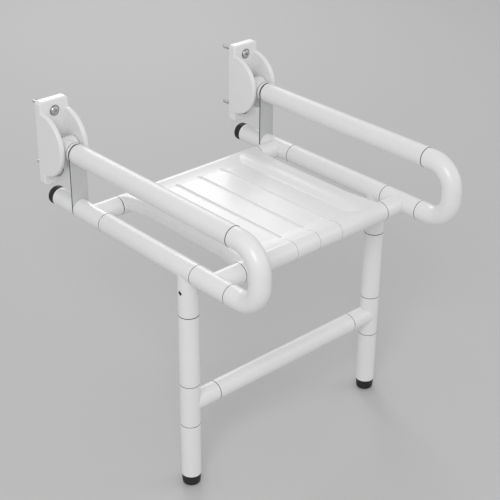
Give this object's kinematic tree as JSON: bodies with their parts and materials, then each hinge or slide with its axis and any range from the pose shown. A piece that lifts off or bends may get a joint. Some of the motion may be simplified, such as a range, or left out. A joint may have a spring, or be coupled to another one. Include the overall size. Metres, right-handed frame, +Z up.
{
  "type": "fold down wall seat",
  "caption": "Fold-down wall seat: a moulded seat panel between two tubular arm rails that hinge on wall brackets, with a drop leg frame.",
  "frame": {"origin": "on the wall plane, at the centre of the four wall screws, midway between the two brackets", "axes": "+X is the sitter's right-hand side seen from the front of the seat, the seat projects from the wall towards -Y, +Y points into the wall, +Z is up"},
  "size_m": [0.499, 0.6029, 0.6075],
  "materials": {
    "white_nylon": "satin gloss",
    "white_grip": "finely stippled",
    "satin_steel": "fine satin grind",
    "plated_steel": "zinc plated",
    "stainless_steel": "turned",
    "black_rubber": "matt",
    "grey_acetal": "plain"
  },
  "bodies": {
    "wall_brackets": {"left_bracket_plate": "plated_steel", "right_bracket_plate": "plated_steel", "left_bracket_cover": "white_nylon", "right_bracket_cover": "white_nylon", "left_hinge_pin": "stainless_steel", "right_hinge_pin": "stainless_steel", "wall_screws": "stainless_steel", "wall_screw_washers": "stainless_steel", "hinge_friction_washers": "grey_acetal"},
    "seat_frame": {"left_hinge_knuckle": "white_nylon", "right_hinge_knuckle": "white_nylon", "left_link_plate": "satin_steel", "right_link_plate": "satin_steel", "left_rail_core": "plated_steel", "right_rail_core": "plated_steel", "left_grip_tube": "white_grip", "right_grip_tube": "white_grip", "left_front_bend": "white_nylon", "right_front_bend": "white_nylon", "left_front_tee": "white_nylon", "right_front_tee": "white_nylon", "left_leg_tee": "white_nylon", "right_leg_tee": "white_nylon", "left_lower_tube": "white_grip", "right_lower_tube": "white_grip", "left_rear_tee": "white_nylon", "right_rear_tee": "white_nylon", "left_rear_stub": "white_nylon", "right_rear_stub": "white_nylon", "left_wall_bumper": "black_rubber", "right_wall_bumper": "black_rubber", "hinge_bushes": "grey_acetal", "front_cross_tube": "plated_steel", "rear_cross_tube": "plated_steel", "seat_panel": "white_nylon", "seat_screws": "stainless_steel", "leg_pins": "stainless_steel"},
    "leg_frame": {"left_leg_tongue": "plated_steel", "right_leg_tongue": "plated_steel", "left_upper_leg_tube": "white_nylon", "right_upper_leg_tube": "white_nylon", "left_stretcher_tee": "white_nylon", "right_stretcher_tee": "white_nylon", "left_lower_leg_tube": "white_nylon", "right_lower_leg_tube": "white_nylon", "left_leg_core": "plated_steel", "right_leg_core": "plated_steel", "left_foot": "black_rubber", "right_foot": "black_rubber", "leg_bushes": "grey_acetal", "stretcher_core": "plated_steel", "stretcher_tube": "white_nylon"}
  },
  "joints": [
    {"name": "seat_fold", "type": "hinge", "parent": "wall_brackets", "child": "seat_frame", "pos_m": [0, -0.04, -0.004], "axis": [-1, 0, 0], "range_deg": [0, 90]},
    {"name": "leg_fold", "type": "hinge", "parent": "seat_frame", "child": "leg_frame", "pos_m": [0, -0.368, -0.144], "axis": [1, 0, 0], "range_deg": [0, 90]}
  ]
}
